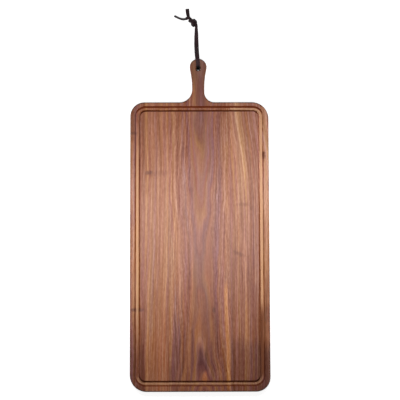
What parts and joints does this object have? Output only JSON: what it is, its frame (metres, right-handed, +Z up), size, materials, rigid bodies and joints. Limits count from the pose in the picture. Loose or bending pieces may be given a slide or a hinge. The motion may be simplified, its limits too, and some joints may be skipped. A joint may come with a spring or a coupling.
{
  "type": "bread board",
  "caption": "Long rounded walnut bread board glued up from staves, with a juice groove round its face and a slim round-ended handle hung by a knotted leather lace.",
  "frame": {"origin": "middle of the wood's outline, on its underside", "axes": "+Y along the board towards the handle's tip, +Z up out of the grooved serving face"},
  "size_m": [0.255, 0.7085, 0.0219],
  "materials": {
    "walnut_left": "oiled satin, straight grain",
    "walnut_inner_left": "oiled satin, straight pale grain",
    "walnut_centre": "oiled satin, flat-sawn grain",
    "walnut_right": "oiled satin, mixed grain",
    "leather": "waxed flat lace"
  },
  "bodies": {
    "board": {"left_stave": "walnut_left", "inner_left_stave": "walnut_inner_left", "centre_stave": "walnut_centre", "right_stave": "walnut_right"},
    "lace": {"leather_lace": "leather"}
  },
  "joints": [
    {"name": "lace_swing", "type": "hinge", "parent": "board", "child": "lace", "pos_m": [-0.002, 0.28655, 0.011], "axis": [0, 0, 1], "range_deg": [-90, 90]}
  ]
}
